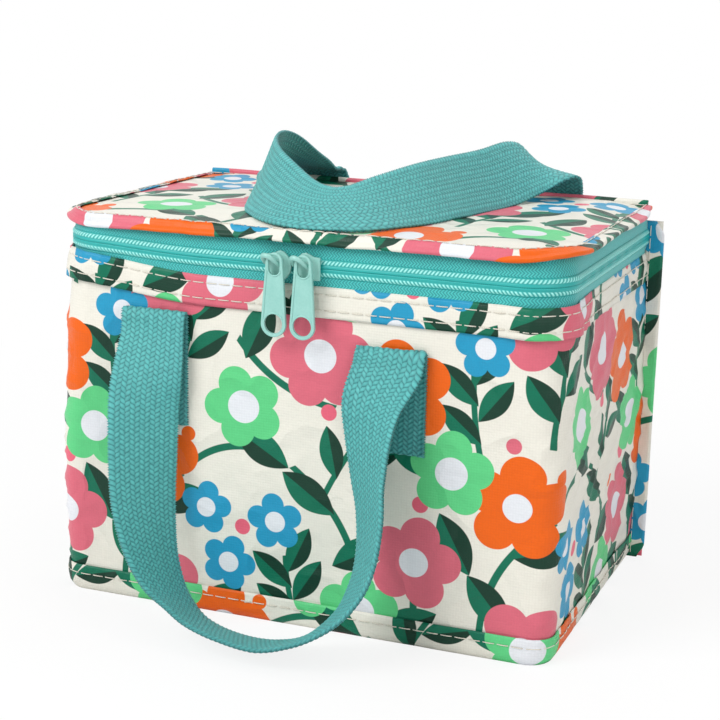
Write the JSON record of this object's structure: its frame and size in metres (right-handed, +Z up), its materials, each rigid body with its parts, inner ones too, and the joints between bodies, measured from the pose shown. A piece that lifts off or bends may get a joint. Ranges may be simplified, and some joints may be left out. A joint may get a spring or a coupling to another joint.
{
  "type": "insulated lunch bag",
  "caption": "Soft insulated lunch bag with foil lining, zipped fold-back lid, two zip sliders and two webbing carry handles.",
  "frame": {"origin": "centre of the bottom panel's underside, on the surface the bag stands on", "axes": "+Z up; -Y towards the front, where the two zip sliders hang; +X to the right as seen from the front"},
  "size_m": [0.226, 0.1899, 0.1865],
  "materials": {
    "printed_shell": "laminated woven polypropylene, fine weave, cream with a printed floral pattern, slight gloss",
    "printed_binding": "folded strips of the same printed laminate, stitched with cream thread",
    "insulating_foam": "white polyethylene foam sheet",
    "foil_lining": "thin aluminised film, crinkled",
    "zip_tape": "teal woven polyester zip tape",
    "zip_coil": "teal nylon coil",
    "webbing": "teal woven polypropylene webbing, coarse basket weave",
    "painted_casting": "mint-green enamel on zinc casting"
  },
  "bodies": {
    "bag": {"bottom_panel": "printed_shell", "front_side_panel": "printed_shell", "back_panel": "printed_shell", "bottom_binding": "printed_binding", "back_bottom_binding": "printed_binding", "top_hem": "printed_binding", "left_corner_binding": "printed_binding", "right_corner_binding": "printed_binding", "bottom_foam": "insulating_foam", "front_side_foam": "insulating_foam", "back_foam": "insulating_foam", "bottom_lining": "foil_lining", "front_side_lining": "foil_lining", "back_lining": "foil_lining", "lower_zip_tape": "zip_tape", "lower_zip_coil": "zip_coil", "front_strap_ends": "webbing", "rear_strap_ends": "webbing"},
    "lid": {"lid_panel": "printed_shell", "lid_foam": "insulating_foam", "lid_lining": "foil_lining", "lid_binding": "printed_binding", "lid_back_ridge": "printed_binding", "upper_zip_tape": "zip_tape", "upper_zip_coil": "zip_coil"},
    "rear_handle": {"rear_strap": "webbing"},
    "front_handle": {"front_strap": "webbing"},
    "left_slider": {"left_slider": "painted_casting"},
    "right_slider": {"right_slider": "painted_casting"},
    "left_pull": {"left_pull": "painted_casting"},
    "right_pull": {"right_pull": "painted_casting"}
  },
  "joints": [
    {"name": "lid_hinge", "type": "hinge", "parent": "bag", "child": "lid", "pos_m": [0, 0.0705, 0.1545], "axis": [-1, 0, 0], "range_deg": [0, 110]},
    {"name": "rear_handle_swing", "type": "hinge", "parent": "lid", "child": "rear_handle", "pos_m": [0, 0.0705, 0.1545], "axis": [-1, 0, 0], "range_deg": [0, 70]},
    {"name": "front_handle_swing", "type": "hinge", "parent": "bag", "child": "front_handle", "pos_m": [0, -0.073, 0.122], "axis": [-1, 0, 0], "range_deg": [0, 140]},
    {"name": "left_slider_run", "type": "slide", "parent": "bag", "child": "left_slider", "axis": [-1, 0, 0], "range_m": [0, 0.0745]},
    {"name": "right_slider_run", "type": "slide", "parent": "bag", "child": "right_slider", "axis": [1, 0, 0], "range_m": [0, 0.0765]},
    {"name": "left_pull_swing", "type": "hinge", "parent": "left_slider", "child": "left_pull", "pos_m": [-0.007, -0.077, 0.14962], "axis": [-1, 0, 0], "range_deg": [0, 90]},
    {"name": "right_pull_swing", "type": "hinge", "parent": "right_slider", "child": "right_pull", "pos_m": [0.005, -0.077, 0.14962], "axis": [-1, 0, 0], "range_deg": [0, 90]}
  ]
}
